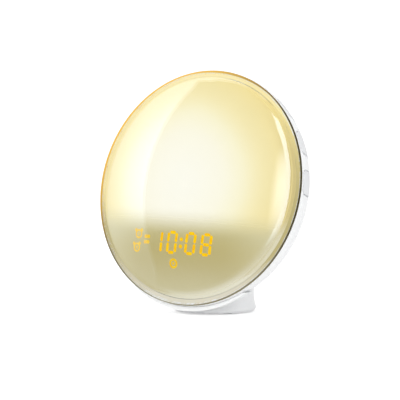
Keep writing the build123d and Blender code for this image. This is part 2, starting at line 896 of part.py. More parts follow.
def make_pedestal():
    """A short round column with a rounded bottom edge and a slight waist."""
    waist = foot_radius - foot_waist
    top = foot_bottom + foot_height
    side = ThreePointArc((foot_radius, foot_bottom + foot_edge_round), (waist, foot_bottom + foot_waist_height),
                         (foot_radius, top))
    round_x = foot_radius - foot_edge_round
    corner = ThreePointArc((round_x, foot_bottom),
                           (round_x + foot_edge_round * sin(radians(45)),
                            foot_bottom + foot_edge_round * (1 - cos(radians(45)))),
                           (foot_radius, foot_bottom + foot_edge_round))
    closing = Polyline((foot_radius, top), (0, top), (0, foot_bottom), (round_x, foot_bottom))
    return Pos(0, foot_center_y, 0) * turned([corner, side] + list(closing.edges()))


def shell_underside(gap):
    """The lower part of the shell's outer form, grown by the gap, with only the faces that the foot meets."""
    whole = bowl(shell_radius + gap, shell_depth + gap, back_outside - gap)
    return whole & block(-rim_radius, rim_radius, -2 * rim_radius, -foot_radius, 2 * back_outside, dome_height)


def make_foot():
    """A crescent collar under the shell that runs back and down into a pedestal with a sloping tail."""
    front_cut = Pos(0, -crescent_drop, 0) * disc(crescent_radius, -collar_setback, -2 * rim_radius)
    foot = make_pedestal() & (standing * front_cut)
    collar = standing * crescent(-collar_setback, -collar_setback - foot_collar_length)
    foot += collar & block(-rim_radius, rim_radius, -rim_radius, rim_radius, foot_bottom, foot_collar_top)
    foot -= standing * shell_underside(foot_seat_gap)
    rear_y = foot_center_y + foot_radius
    top = foot_bottom + foot_height
    wedge = Polyline((foot_tail_start_y, 2 * top), (foot_tail_start_y, top),
                     (rear_y, foot_bottom + foot_tail_height), (2 * rear_y, foot_bottom + foot_tail_height),
                     (2 * rear_y, 2 * top), close=True)
    foot -= Pos(-rim_radius, 0, 0) * extrude(Plane.YZ * make_face(wedge.edges()), 2 * rim_radius)
    for x, y in pad_places:
        foot -= Pos(x, y, 0) * disc(pad_radius, pad_thickness, 0)
    for x in (-foot_screw_x, foot_screw_x):
        foot -= Pos(x, foot_screw_y, 0) * disc(screw_head_radius + screw_pass_clearance, foot_screw_head_z, 0)
        foot -= Pos(x, foot_screw_y, 0) * disc(screw_radius + screw_pass_clearance, 2 * foot_height, 0)
    return foot


def make_foot_pads():
    return group(Pos(x, y, 0) * disc(pad_radius, pad_thickness, 0) for x, y in pad_places)


def shell_level_over(y):
    """The height of the shell's underside over a point of the table on the centre line."""
    low, high = 0.0, rim_center_height
    for _ in range(50):
        middle = (low + high) / 2
        along = middle - rim_center_height
        up_face = y * sin(radians(recline)) + along * cos(radians(recline))
        setback = y * cos(radians(recline)) - along * sin(radians(recline))
        deep = (setback - dome_edge_band) / shell_depth
        inside = (hypot(up_face, foot_screw_x) / shell_radius) ** 2 + deep ** 2 < 1
        low, high = (low, middle) if inside else (middle, high)
    return low


foot_boss_top = shell_level_over(foot_screw_y) + shell_wall + foot_boss_rise
foot_screw_length = foot_boss_top - 1 - foot_screw_head_z


def make_foot_screws():
    return group(Pos(x, foot_screw_y, foot_screw_head_z) * Rot(180, 0, 0) * screw(foot_screw_length)
                 for x in (-foot_screw_x, foot_screw_x))


def with_foot_bosses(shell):
    """The standing rear shell with the bosses that the foot's screws bite into."""
    outside = standing * shell_outside
    for x in (-foot_screw_x, foot_screw_x):
        shell += (Pos(x, foot_screw_y, 0) * disc(foot_boss_radius, foot_boss_top, foot_bottom)) & outside
        bite = disc(screw_radius + screw_hole_clearance, foot_boss_top - 0.5, foot_bottom)
        shell -= Pos(x, foot_screw_y, 0) * bite
    return shell


# ---- assembly ----

digits = digit_slots(True)
blank_bars = digit_slots(False)
colon = colon_slots()
marks = mark_slots()

face_parts = {
    "front_dome": make_front_dome(),
    "light_diffuser": make_light_diffuser(),
    "light_baffle": make_light_baffle(),
    "reflector_ring": make_reflector_ring(),
    "light_board": make_light_board(),
    "sunrise_leds": make_sunrise_leds(),
    "light_board_screws": make_light_board_screws(),
    "board_carrier": make_board_carrier(),
    "carrier_screws": make_carrier_screws(),
    "display_housing": make_display_housing(digits + blank_bars + colon + marks),
    "display_digits": light_guides(digits),
    "display_blank_bars": light_guides(blank_bars),
    "display_colon": light_guides(colon),
    "display_marks": light_guides(marks),
    "display_leds": make_display_leds(),
    "side_switches": make_side_switches(),
    "switch_plungers": make_switch_plungers(),
    "main_board": make_main_board(),
    "main_board_screws": make_main_board_screws(),
    "control_chips": make_control_chips(),
    "power_capacitors": make_capacitors(),
    "power_inlet": make_power_inlet(),
    "power_inlet_pin": make_power_inlet_pin(),
    "usb_socket": make_usb_socket(),
    "usb_tongue": make_usb_tongue(),
    "ribbon_connectors": make_ribbon_connectors(),
    "board_ribbon": make_board_ribbon(),
    "speaker_gasket": make_speaker_gasket(),
    "speaker_frame": make_speaker_frame(),
    "speaker_cone": make_speaker_cone(),
    "speaker_magnet": make_speaker_magnet(),
    "backup_cell": make_backup_cell(),
    "cell_contacts": make_cell_contacts(),
    "battery_cover": make_battery_cover(),
}
for side, angles in side_angles.items():
    for place, angle in zip(("lower", "middle", "upper"), angles):
        face_parts[f"key_{side}_{place}"] = make_key(angle)

parts = {name: placed(standing, shape) for name, shape in face_parts.items()}
parts["rear_shell"] = with_foot_bosses(standing * make_rear_shell())
parts["foot"] = make_foot()
parts["foot_pads"] = make_foot_pads()
parts["foot_screws"] = make_foot_screws()

# The origin is on the table, under the middle of the whole clock's box.
boxes = [shape.bounding_box() for shape in parts.values()]
middle_y = (min(box.min.Y for box in boxes) + max(box.max.Y for box in boxes)) / 2
for name, shape in parts.items():
    export_step(placed(Pos(0, -middle_y, 0), shape), f"parts/{name}.step")

hinge = (Pos(0, -middle_y, 0) * standing * Pos(0, cover_hinge_y, back_outside)).position
print("middle_y", round(middle_y, 4))
print("battery cover hinge", [round(value / 1000, 6) for value in (hinge.X, hinge.Y, hinge.Z)])
for angle in key_angles:
    lift = sin(radians(angle))
    print("right key", round(angle, 2), "presses along", round(-cos(radians(angle)), 5),
          round(-lift * sin(radians(recline)), 5), round(-lift * cos(radians(recline)), 5))
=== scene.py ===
import math

import bmesh
import bpy
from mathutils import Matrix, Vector


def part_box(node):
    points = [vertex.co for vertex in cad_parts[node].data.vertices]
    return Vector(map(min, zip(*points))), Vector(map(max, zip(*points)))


print("loading the clock's frame")
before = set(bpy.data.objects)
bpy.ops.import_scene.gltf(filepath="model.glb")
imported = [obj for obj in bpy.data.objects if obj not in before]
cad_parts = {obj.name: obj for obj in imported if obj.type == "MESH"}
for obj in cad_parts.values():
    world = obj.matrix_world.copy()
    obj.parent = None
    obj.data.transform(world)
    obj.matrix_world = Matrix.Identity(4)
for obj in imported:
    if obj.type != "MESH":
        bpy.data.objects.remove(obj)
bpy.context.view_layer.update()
scene = bpy.context.scene

# how the face stands: its lean, and how far the light board's middle lies behind the rim's centre
stance = {"recline": math.radians(15), "boardDepth": 0.0068}

faceOut = Vector((0, -math.cos(stance["recline"]), math.sin(stance["recline"])))
boardLow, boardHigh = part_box("light_board")
rimCentre = (boardLow + boardHigh) / 2 + faceOut * stance["boardDepth"]


def screen(red, green, blue):
    # a colour as seen on screen, 0 to 255, turned into the linear one that shaders use
    def one(value):
        share = value / 255
        return share / 12.92 if share <= 0.04045 else ((share + 0.055) / 1.055) ** 2.4
    return (one(red), one(green), one(blue), 1.0)


# node helpers

def feed(tree, socket, value):
    if isinstance(value, bpy.types.NodeSocket):
        tree.links.new(value, socket)
    else:
        socket.default_value = value


def addNode(tree, kind, inputs=None, **settings):
    node = tree.nodes.new("ShaderNode" + kind)
    for name, value in settings.items():
        setattr(node, name, value)
    for key, value in (inputs or {}).items():
        feed(tree, node.inputs[key], value)
    return node


def maths(tree, operation, *values):
    node = addNode(tree, "Math", operation=operation)
    for index, value in enumerate(values):
        feed(tree, node.inputs[index], value)
    return node.outputs[0]


def softStep(tree, value, low, high):
    return addNode(tree, "MapRange", {0: value, 1: low, 2: high}, interpolation_type="SMOOTHSTEP").outputs[0]


def mixColor(tree, factor, first, second, blend="MIX"):
    node = addNode(tree, "Mix", data_type="RGBA", blend_type=blend)
    for index, value in ((0, factor), (6, first), (7, second)):
        feed(tree, node.inputs[index], value)
    return node.outputs[2]


def colorRamp(tree, value, stops):
    # stops are (position, colour), from low to high
    node = addNode(tree, "ValToRGB", {0: value})
    ramp = node.color_ramp
    ramp.interpolation = "B_SPLINE"
    for position, _ in stops[1:-1]:
        ramp.elements.new(position)
    for element, (position, color) in zip(ramp.elements, stops):
        element.position = position
        element.color = color
    return node.outputs[0]


def noiseOf(tree, scale, detail=3.0, vector=None):
    inputs = {"Scale": scale, "Detail": detail}
    if vector is not None:
        inputs["Vector"] = vector
    return addNode(tree, "TexNoise", inputs).outputs[0]


def objectPoint(tree, stretch=(1, 1, 1)):
    place = addNode(tree, "TexCoord").outputs["Object"]
    return addNode(tree, "Mapping", {"Vector": place, "Scale": stretch}).outputs[0]


def facePoint(tree):
    # millimetres across the face, up the face and out of it, from the rim's centre
    place = addNode(tree, "TexCoord").outputs["Object"]
    mapping = addNode(tree, "Mapping", {"Vector": place, "Location": rimCentre, "Scale": (0.001,) * 3,
                                        "Rotation": (math.pi / 2 - stance["recline"], 0, 0)},
                      vector_type="TEXTURE")
    parts = addNode(tree, "SeparateXYZ", {0: mapping.outputs[0]})
    return parts.outputs[0], parts.outputs[1], parts.outputs[2]


def faceRadius(tree, across, up):
    return maths(tree, "SQRT", maths(tree, "ADD", maths(tree, "MULTIPLY", across, across),
                                     maths(tree, "MULTIPLY", up, up)))


def makeGroup(name, inputs, outputs):
    group = bpy.data.node_groups.new(name, "ShaderNodeTree")
    for label, kind, value in inputs:
        group.interface.new_socket(label, in_out="INPUT", socket_type="NodeSocket" + kind).default_value = value
    for label, kind in outputs:
        group.interface.new_socket(label, in_out="OUTPUT", socket_type="NodeSocket" + kind)
    return group, group.nodes.new("NodeGroupInput").outputs, group.nodes.new("NodeGroupOutput").inputs


def useGroup(tree, group, **inputs):
    node = addNode(tree, "Group", node_tree=group)
    for name, value in inputs.items():
        feed(tree, node.inputs[name], value)
    return node.outputs


# effects that several materials share

print("building the shared effects")

glow = {
    # colours from the middle of the face to its rim, by radius in mm
    "dawn": ((0, (255, 254, 240)), (30, (255, 252, 232)), (46, (252, 247, 210)), (57, (248, 236, 180)),
             (66, (244, 230, 169)), (74, (245, 228, 160)), (80, (243, 224, 150)), (88, (240, 212, 130))),
    "edgeShade": (70.0, 88.0),       # mm from the middle over which painted shade darkens the edge below the top
    "edgeTurn": (20.0, 70.0),
    "edgeShadeColor": (184, 170, 118),
    # colours of the dim lower part, by height on the face in mm
    "dusk": ((-90, (180, 170, 130)), (-80, (196, 188, 142)), (-69, (196, 187, 142)), (-57, (188, 176, 121)),
             (-46, (186, 173, 111)), (-36, (194, 184, 129)), (-26, (205, 196, 146))),
    "dawnReach": 90.0,
    "leftTurn": (-20.0, 40.0),       # mm across, from the left side's colours to the right side's
    "leftShift": 9.0,                # mm further out that the left side keeps its pale colours, painted light on that side
    "leftSpare": 0.6,                # share of the edge's painted shade that the left side is spared
    "paleEdge": (73.0, 85.0),        # the lower edge turns pale, from the left to the right
    "paleTurn": (-45.0, 10.0),
    "paleColor": (226, 221, 199),
    "paleShare": 0.9,
    "horizon": (-35.8, -14.3),       # mm up the face over which dusk turns into dawn
    "slant": 0.1785,                 # the horizon sinks by this share of how far out the surface is
    "sideLift": (30.0, 80.0),
    "sideColor": (218, 212, 172),
    "sideShare": 0.6,
    "driftScale": 28.0,              # a slow unevenness of the light
    "driftDetail": 2.0,
    "driftShare": 0.02,
    "strength": 1.08,
    "opal": (0.035, 0.034, 0.03, 1),
}


def makeSunriseGlow():
    group, given, out = makeGroup("sunrise glow", [("Drift", "Float", 0.03), ("Dimming", "Float", 0.0)],
                                  [("Glow", "Color")])
    across, up, outward = facePoint(group)
    uneven = noiseOf(group, glow["driftScale"], glow["driftDetail"], objectPoint(group))
    drift = maths(group, "MULTIPLY", maths(group, "SUBTRACT", uneven, 0.5), given["Drift"])
    radius = faceRadius(group, across, up)
    atLeft = maths(group, "SUBTRACT", 1.0, softStep(group, across, *glow["leftTurn"]))
    shifted = maths(group, "SUBTRACT", radius, maths(group, "MULTIPLY", atLeft, glow["leftShift"]))
    dawn = colorRamp(group, maths(group, "ADD", maths(group, "DIVIDE", shifted, glow["dawnReach"]), drift),
                     [(mm / glow["dawnReach"], screen(*color)) for mm, color in glow["dawn"]])
    # painted shade towards the rim below the top, partly spared on the left
    belowTop = maths(group, "SUBTRACT", 1.0, softStep(group, up, *glow["edgeTurn"]))
    shaded = maths(group, "MULTIPLY", belowTop, softStep(group, radius, *glow["edgeShade"]))
    spared = maths(group, "SUBTRACT", 1.0, maths(group, "MULTIPLY", atLeft, glow["leftSpare"]))
    shaded = maths(group, "MULTIPLY", shaded, spared)
    dawn = mixColor(group, shaded, dawn, screen(*glow["edgeShadeColor"]))
    lowest, highest = glow["dusk"][0][0], glow["dusk"][-1][0]
    height = addNode(group, "MapRange", {0: up, 1: lowest, 2: highest}).outputs[0]
    dusk = colorRamp(group, maths(group, "ADD", height, drift),
                     [((mm - lowest) / (highest - lowest), screen(*color)) for mm, color in glow["dusk"]])
    side = softStep(group, maths(group, "ABSOLUTE", across), *glow["sideLift"])
    dusk = mixColor(group, maths(group, "MULTIPLY", side, glow["sideShare"]), dusk, screen(*glow["sideColor"]))
    pale = maths(group, "MULTIPLY", softStep(group, radius, *glow["paleEdge"]),
                 softStep(group, across, *glow["paleTurn"]))
    dusk = mixColor(group, maths(group, "MULTIPLY", pale, glow["paleShare"]), dusk, screen(*glow["paleColor"]))
    level = maths(group, "ADD", up, maths(group, "MULTIPLY", outward, glow["slant"]))
    mask = softStep(group, level, *glow["horizon"])
    both = mixColor(group, mask, dusk, dawn)
    group.links.new(mixColor(group, given["Dimming"], both, (0.0, 0.0, 0.0, 1.0)), out["Glow"])
    return group


mould = {"slowScale": 22.0, "slowDetail": 4.0, "fineDetail": 2.0, "darker": (0.82, 0.82, 0.8, 1),
         "slowGloss": 0.6, "fineGloss": 0.4, "fineHeight": 0.6, "pitHeight": 0.4}


def makeMouldGrain():
    # fine moulded grain with a slow drift of shade and gloss
    group, given, out = makeGroup("mould grain",
                                  [("Color", "Color", (0.8, 0.8, 0.8, 1)), ("Shade", "Float", 0.05),
                                   ("Grain Size", "Float", 900.0), ("Roughness", "Float", 0.3),
                                   ("Spread", "Float", 0.08)],
                                  [("Color", "Color"), ("Roughness", "Float"), ("Height", "Float")])
    point = objectPoint(group)
    slow = noiseOf(group, mould["slowScale"], mould["slowDetail"], point)
    fine = noiseOf(group, given["Grain Size"], mould["fineDetail"], point)
    pits = addNode(group, "TexVoronoi", {"Vector": point, "Scale": given["Grain Size"]}).outputs["Distance"]
    darker = mixColor(group, 1.0, given["Color"], mould["darker"], "MULTIPLY")
    amount = maths(group, "MULTIPLY", slow, given["Shade"])
    group.links.new(mixColor(group, amount, given["Color"], darker), out["Color"])
    gloss = maths(group, "ADD", maths(group, "MULTIPLY", slow, mould["slowGloss"]),
                  maths(group, "MULTIPLY", fine, mould["fineGloss"]))
    sway = maths(group, "SUBTRACT", gloss, 0.5)
    group.links.new(maths(group, "ADD", given["Roughness"], maths(group, "MULTIPLY", sway, given["Spread"])),
                    out["Roughness"])
    group.links.new(maths(group, "ADD", maths(group, "MULTIPLY", fine, mould["fineHeight"]),
                          maths(group, "MULTIPLY", pits, mould["pitHeight"])), out["Height"])
    return group


dustFilm = {"facing": (0.1, 1.0), "patchScale": 60.0, "patchDetail": 6.0, "patchTurn": (0.35, 0.75),
            "patchShare": 0.7, "speckScale": 1600.0, "speckTurn": (0.68, 0.76),
            "color": (0.55, 0.53, 0.5, 1), "rough": 0.5}


def makeDust():
    # a thin film that settles on what faces up, with a few specks
    group, given, out = makeGroup("settled dust", [("Amount", "Float", 0.15)], [("Dust", "Float")])
    facing = addNode(group, "SeparateXYZ", {0: addNode(group, "NewGeometry").outputs["Normal"]}).outputs[2]
    film = softStep(group, facing, *dustFilm["facing"])
    patches = softStep(group, noiseOf(group, dustFilm["patchScale"], dustFilm["patchDetail"],
                                      objectPoint(group)), *dustFilm["patchTurn"])
    specks = softStep(group, noiseOf(group, dustFilm["speckScale"], 1.0, objectPoint(group)),
                      *dustFilm["speckTurn"])
    settled = maths(group, "ADD", maths(group, "MULTIPLY", patches, dustFilm["patchShare"]), specks)
    cover = maths(group, "MULTIPLY", film, settled)
    group.links.new(maths(group, "MULTIPLY", cover, given["Amount"]), out["Dust"])
    return group


drawn = {"stretch": (1.0, 1.0, 14.0), "spotScale": 90.0, "spotDetail": 5.0, "spotTurn": (0.5, 0.72),
         "stain": (0.45, 0.38, 0.3, 1), "lineRough": 0.12, "spotRough": 0.4, "depth": 0.00005}


def makeDrawnMetal():
    # drawn or turned metal: fine lines along one axis, and a few dull spots
    group, given, out = makeGroup("drawn metal",
                                  [("Color", "Color", (0.7, 0.7, 0.7, 1)), ("Line Scale", "Float", 400.0),
                                   ("Roughness", "Float", 0.3), ("Tarnish", "Float", 0.2)],
                                  [("Color", "Color"), ("Roughness", "Float"), ("Height", "Float")])
    lines = noiseOf(group, given["Line Scale"], 3.0, objectPoint(group, drawn["stretch"]))
    spots = softStep(group, noiseOf(group, drawn["spotScale"], drawn["spotDetail"], objectPoint(group)),
                     *drawn["spotTurn"])
    dull = maths(group, "MULTIPLY", spots, given["Tarnish"])
    stained = mixColor(group, 1.0, given["Color"], drawn["stain"], "MULTIPLY")
    group.links.new(mixColor(group, dull, given["Color"], stained), out["Color"])
    rough = maths(group, "ADD", given["Roughness"], maths(group, "MULTIPLY", lines, drawn["lineRough"]))
    group.links.new(maths(group, "ADD", rough, maths(group, "MULTIPLY", dull, drawn["spotRough"])),
                    out["Roughness"])
    group.links.new(lines, out["Height"])
    return group


tracksLook = {"trackTurn": (0.05, 0.09), "padScale": 5000.0, "padChoice": 0.56, "padSize": 0.16,
              "padColor": (0.75, 0.74, 0.7, 1), "rough": 0.42, "padGloss": 0.15, "trackHeight": 0.5,
              "coatRough": 0.15, "bump": 0.4, "depth": 0.00006}


def makeBoardTracks():
    # copper tracks under solder mask, with tinned pads between them
    group, given, out = makeGroup("board tracks",
                                  [("Mask Color", "Color", (0.02, 0.2, 0.08, 1)),
                                   ("Track Color", "Color", (0.05, 0.3, 0.12, 1)), ("Pitch", "Float", 260.0)],
                                  [("Color", "Color"), ("Roughness", "Float"), ("Metal", "Float"),
                                   ("Height", "Float")])
    point = objectPoint(group)
    cells = addNode(group, "TexVoronoi", {"Vector": point, "Scale": given["Pitch"]}, distance="CHEBYCHEV",
                    feature="F1")
    edge = addNode(group, "TexVoronoi", {"Vector": point, "Scale": given["Pitch"]}, feature="DISTANCE_TO_EDGE")
    track = maths(group, "SUBTRACT", 1.0, softStep(group, edge.outputs["Distance"], *tracksLook["trackTurn"]))
    lottery = noiseOf(group, tracksLook["padScale"], 0.0, cells.outputs["Position"])
    chosen = maths(group, "GREATER_THAN", lottery, tracksLook["padChoice"])
    small = maths(group, "LESS_THAN", cells.outputs["Distance"], tracksLook["padSize"])
    pad = maths(group, "MULTIPLY", chosen, small)
    masked = mixColor(group, track, given["Mask Color"], given["Track Color"])
    group.links.new(mixColor(group, pad, masked, tracksLook["padColor"]), out["Color"])
    group.links.new(maths(group, "SUBTRACT", tracksLook["rough"],
                          maths(group, "MULTIPLY", pad, tracksLook["padGloss"])), out["Roughness"])
    group.links.new(pad, out["Metal"])
    group.links.new(maths(group, "ADD", maths(group, "MULTIPLY", track, tracksLook["trackHeight"]), pad),
                    out["Height"])
    return group


sunriseGlow = makeSunriseGlow()
mouldGrain = makeMouldGrain()
settledDust = makeDust()
drawnMetal = makeDrawnMetal()
boardTracks = makeBoardTracks()


# materials

def newMaterial(name, **settings):
    material = bpy.data.materials.new(name)
    material.use_nodes = True
    shader = material.node_tree.nodes["Principled BSDF"]
    for key, value in settings.items():
        shader.inputs[key.replace("_", " ")].default_value = value
    return material, material.node_tree, shader.inputs


def bumpInto(tree, shader, height, strength, depth):
    bump = addNode(tree, "Bump", {"Strength": strength, "Distance": depth, "Height": height})
    tree.links.new(bump.outputs[0], shader["Normal"])


def makePlastic(name, look):
    material, tree, shader = newMaterial(name, **look.get("shader", {}))
    grain = useGroup(tree, mouldGrain, **{"Color": screen(*look["color"]), "Shade": look["shade"],
                                          "Grain Size": look["grain"], "Roughness": look["rough"],
                                          "Spread": look["spread"]})
    dust = useGroup(tree, settledDust, Amount=look["dust"])["Dust"]
    tree.links.new(mixColor(tree, dust, grain["Color"], dustFilm["color"]), shader["Base Color"])
    tree.links.new(maths(tree, "ADD", grain["Roughness"], maths(tree, "MULTIPLY", dust, dustFilm["rough"])),
                   shader["Roughness"])
    bumpInto(tree, shader, grain["Height"], look["bump"], look["depth"])
    return material


def makeMetal(name, look):
    material, tree, shader = newMaterial(name, Metallic=1.0, **look.get("shader", {}))
    metal = useGroup(tree, drawnMetal, **{"Color": screen(*look["color"]), "Line Scale": look["lines"],
                                          "Roughness": look["rough"], "Tarnish": look["tarnish"]})
    tree.links.new(metal["Color"], shader["Base Color"])
    tree.links.new(metal["Roughness"], shader["Roughness"])
    bumpInto(tree, shader, metal["Height"], look["bump"], drawn["depth"])
    return material


def makeBoard(name, look):
    material, tree, shader = newMaterial(name, Coat_Roughness=tracksLook["coatRough"])
    tracks = useGroup(tree, boardTracks, **{"Mask Color": screen(*look["mask"]),
                                            "Track Color": screen(*look["track"]), "Pitch": look["pitch"]})
    tree.links.new(tracks["Color"], shader["Base Color"])
    tree.links.new(tracks["Roughness"], shader["Roughness"])
    tree.links.new(tracks["Metal"], shader["Metallic"])
    bumpInto(tree, shader, tracks["Height"], tracksLook["bump"], tracksLook["depth"])
    return material


def dress(material, *names):
    # gives CAD pieces their material
    for name in names:
        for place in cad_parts[name].material_slots:
            place.material = material


print("dressing the glowing face")

dome = {
    "reflect": 0.075,                # share that each face of the clear dome reflects
    "mirror": (0.68, 0.8, 1.0, 1),
    "shoulder": (70.41, -9.0),       # the shoulder's centre, mm from the middle and out of the rim plane
    "outerSkin": (16.9, 17.1),       # mm from that centre, so that only the outer face gets the edge line
    # the edge line is painted light: painted glow at the upper left and left, painted shade at the lower right,
    # paler at the bottom
    "line": 0.5,                     # mm out of the rim plane up to which the edge line shows on the right
    "topGain": 2.0,                  # what the line gains at the upper left
    "topTurn": (0.1, 0.7),
    "leftGain": 3.6,                 # and more on the left
    "leftTurn": (0.2, 1.0),
    "rim": 86.0,                     # mm from the middle to the rim
    "diagonal": 122.0,               # mm of rise less mm across, at the rim's upper left
    "lineSoft": 0.6,
    "lineBody": (0.03, 0.025, 0.015, 1),
    "lineGlow": (240, 192, 88),
    "lineShade": (58, 52, 28),
    "lineLow": (126, 120, 94),
    "lineTurn": (-80.0, -15.0),
    "duskTurn": (-35.0, 0.0),
    "turn": (-0.1, 0.95),            # where the edge line turns from painted shade at the lower right to painted glow at the upper left
    "skirtLevel": (-0.7, -0.3),      # the moulded skirt below, painted as lit from within, with painted glow at the upper left and painted shade at the lower right
    "skirtTurn": (-0.8, 0.1),
    "skirtGlow": (247, 230, 162),
    "skirtShade": (194, 182, 128),
    "skirtLow": (218, 212, 190),
    "lowTurn": (-78.0, -40.0),
    "gloss": 0.025,                  # roughness of the clean dome
    "smearRough": 0.03,
    "smearScale": 35.0,
    "smearDetail": 5.0,
    "smearStretch": (1, 1, 2.5),
    "smearTurn": (0.45, 0.8),
    "solidRough": 0.12,
    "dust": 0.02,
}


def makeDomeMaterial():
    material, tree, shader = newMaterial("half mirrored dome", Emission_Strength=1.0, IOR=1.49,
                                         Specular_IOR_Level=0.0)
    across, up, outward = facePoint(tree)
    upperLeft = maths(tree, "DIVIDE", maths(tree, "SUBTRACT", up, across), dome["diagonal"])
    atLeft = softStep(tree, maths(tree, "DIVIDE", across, -dome["rim"]), *dome["leftTurn"])
    atTop = softStep(tree, upperLeft, *dome["topTurn"])
    gain = maths(tree, "ADD", maths(tree, "MULTIPLY", atLeft, dome["leftGain"]),
                 maths(tree, "MULTIPLY", atTop, dome["topGain"]))
    above = maths(tree, "SUBTRACT", outward, maths(tree, "ADD", dome["line"], gain))
    shoulderRadius, shoulderOut = dome["shoulder"]
    fromShoulder = faceRadius(tree, maths(tree, "SUBTRACT", faceRadius(tree, across, up), shoulderRadius),
                              maths(tree, "SUBTRACT", outward, shoulderOut))
    outer = softStep(tree, fromShoulder, *dome["outerSkin"])
    below = maths(tree, "SUBTRACT", 1.0, softStep(tree, above, 0.0, dome["lineSoft"]))
    edge = maths(tree, "MULTIPLY", outer, below)
    skirt = maths(tree, "SUBTRACT", 1.0, softStep(tree, outward, *dome["skirtLevel"]))
    solid = maths(tree, "MAXIMUM", edge, skirt)
    # the edge line's painted glow towards the upper left and painted shade towards the lower right
    warm = softStep(tree, upperLeft, *dome["turn"])
    lineColor = mixColor(tree, warm, screen(*dome["lineShade"]), screen(*dome["lineGlow"]))
    lineColor = mixColor(tree, softStep(tree, up, *dome["lineTurn"]), screen(*dome["lineLow"]), lineColor)
    # the skirt's painted glow towards the upper left, painted shade towards the lower right, paler again at the
    # very bottom
    sunny = maths(tree, "MULTIPLY", softStep(tree, upperLeft, *dome["skirtTurn"]),
                  softStep(tree, up, *dome["duskTurn"]))
    skirtColor = mixColor(tree, sunny, screen(*dome["skirtShade"]), screen(*dome["skirtGlow"]))
    skirtColor = mixColor(tree, softStep(tree, up, *dome["lowTurn"]), screen(*dome["skirtLow"]), skirtColor)
    lit = mixColor(tree, edge, skirtColor, lineColor)
    clear = maths(tree, "SUBTRACT", 1.0, solid)
    tree.links.new(mixColor(tree, solid, dome["mirror"], dome["lineBody"]), shader["Base Color"])
    tree.links.new(clear, shader["Metallic"])
    tree.links.new(mixColor(tree, solid, (0, 0, 0, 1), lit), shader["Emission Color"])
    smears = softStep(tree, noiseOf(tree, dome["smearScale"], dome["smearDetail"],
                                    objectPoint(tree, dome["smearStretch"])), *dome["smearTurn"])
    dull = maths(tree, "ADD", maths(tree, "MULTIPLY", smears, dome["smearRough"]),
                 maths(tree, "MULTIPLY", solid, dome["solidRough"]))
    tree.links.new(maths(tree, "ADD", dome["gloss"], dull), shader["Roughness"])
    dust = useGroup(tree, settledDust, Amount=dome["dust"])["Dust"]
    alpha = maths(tree, "ADD", dome["reflect"], dust)
    tree.links.new(maths(tree, "MAXIMUM", alpha, solid), shader["Alpha"])
    return material


opalGrain = {"Shade": 0.1, "Grain Size": 700.0, "Roughness": 0.6, "Spread": 0.1}
opalBump = {"strength": 0.15, "depth": 0.0001}


def makeGlowMaterial(name, dimming):
    material, tree, shader = newMaterial(name, Emission_Strength=glow["strength"])
    light = useGroup(tree, sunriseGlow, Drift=glow["driftShare"], Dimming=dimming)
    tree.links.new(light["Glow"], shader["Emission Color"])
    grain = useGroup(tree, mouldGrain, Color=glow["opal"], **opalGrain)
    tree.links.new(grain["Color"], shader["Base Color"])
    tree.links.new(grain["Roughness"], shader["Roughness"])
    bumpInto(tree, shader, grain["Height"], opalBump["strength"], opalBump["depth"])
    return material


amber = {
    "digits": ((254, 208, 0), (251, 184, 0)),    # brightest and dimmest colour
    "colon": ((252, 204, 0), (250, 180, 0)),
    "marks": ((242, 203, 40), (236, 184, 24)),
    "mottle": 420.0,
    "mottleDetail": 2.0,
    "mottleTurn": (0.2, 0.7),
    "darken": 0.9,                   # how far the unlit body colour is from the lit one
    "rough": 0.25,
    "strength": 1.05,
}


def makeAmber(name, core, edge):
    material, tree, shader = newMaterial(name, Roughness=amber["rough"], Emission_Strength=amber["strength"])
    mottle = noiseOf(tree, amber["mottle"], amber["mottleDetail"], objectPoint(tree))
    light = mixColor(tree, softStep(tree, mottle, *amber["mottleTurn"]), screen(*edge), screen(*core))
    tree.links.new(light, shader["Emission Color"])
    tree.links.new(mixColor(tree, amber["darken"], light, (0, 0, 0, 1)), shader["Base Color"])
    return material


dress(makeDomeMaterial(), "front_dome")
# the diffuser is the lamp's own glowing face; the baffle, reflector, display skin and blank bars wear the same
# glow as painted light
litPieces = {                        # piece, its material, how far it is dimmed
    "light_diffuser": ("opal diffuser", 0.0),
    "light_baffle": ("lit baffle", 0.0),
    "reflector_ring": ("lit reflector", 0.0),
    "display_housing": ("display skin", 0.0),
    "display_blank_bars": ("unlit bar", 0.02),
}
for piece, (label, dimming) in litPieces.items():
    dress(makeGlowMaterial(label, dimming), piece)
for part in ("digits", "colon", "marks"):
    dress(makeAmber("amber " + part, *amber[part]), "display_" + part)


print("dressing the shell, keys and foot")

shellLook = {"color": (250, 251, 252), "shade": 0.1, "grain": 500.0, "rough": 0.2, "spread": 0.06, "dust": 0.05,
             "bump": 0.02, "depth": 0.0001, "shader": {"Coat_Weight": 0.35, "Coat_Roughness": 0.04}}
keyLook = {"color": (236, 237, 239), "shade": 0.1, "grain": 1400.0, "rough": 0.42, "spread": 0.08, "dust": 0.08,
           "bump": 0.12, "depth": 0.0001}
footLook = {"color": (247, 248, 249), "shade": 0.12, "grain": 900.0, "rough": 0.3, "spread": 0.08, "dust": 0.1,
            "bump": 0.05, "depth": 0.0001, "shader": {"Coat_Weight": 0.15, "Coat_Roughness": 0.1}}
padLook = {"color": (128, 128, 130), "shade": 0.3, "grain": 1500.0, "rough": 0.75, "spread": 0.1, "dust": 0.3,
           "bump": 0.4, "depth": 0.0002}

shellWhite = makePlastic("shell gloss white", shellLook)
dress(shellWhite, "rear_shell", "battery_cover")
keys = [f"key_{side}_{place}" for side in ("right", "left") for place in ("lower", "middle", "upper")]
dress(makePlastic("key satin white", keyLook), *keys)
dress(makePlastic("foot satin white", footLook), "foot")
dress(makePlastic("pad rubber", padLook), "foot_pads")


print("dressing the works inside")

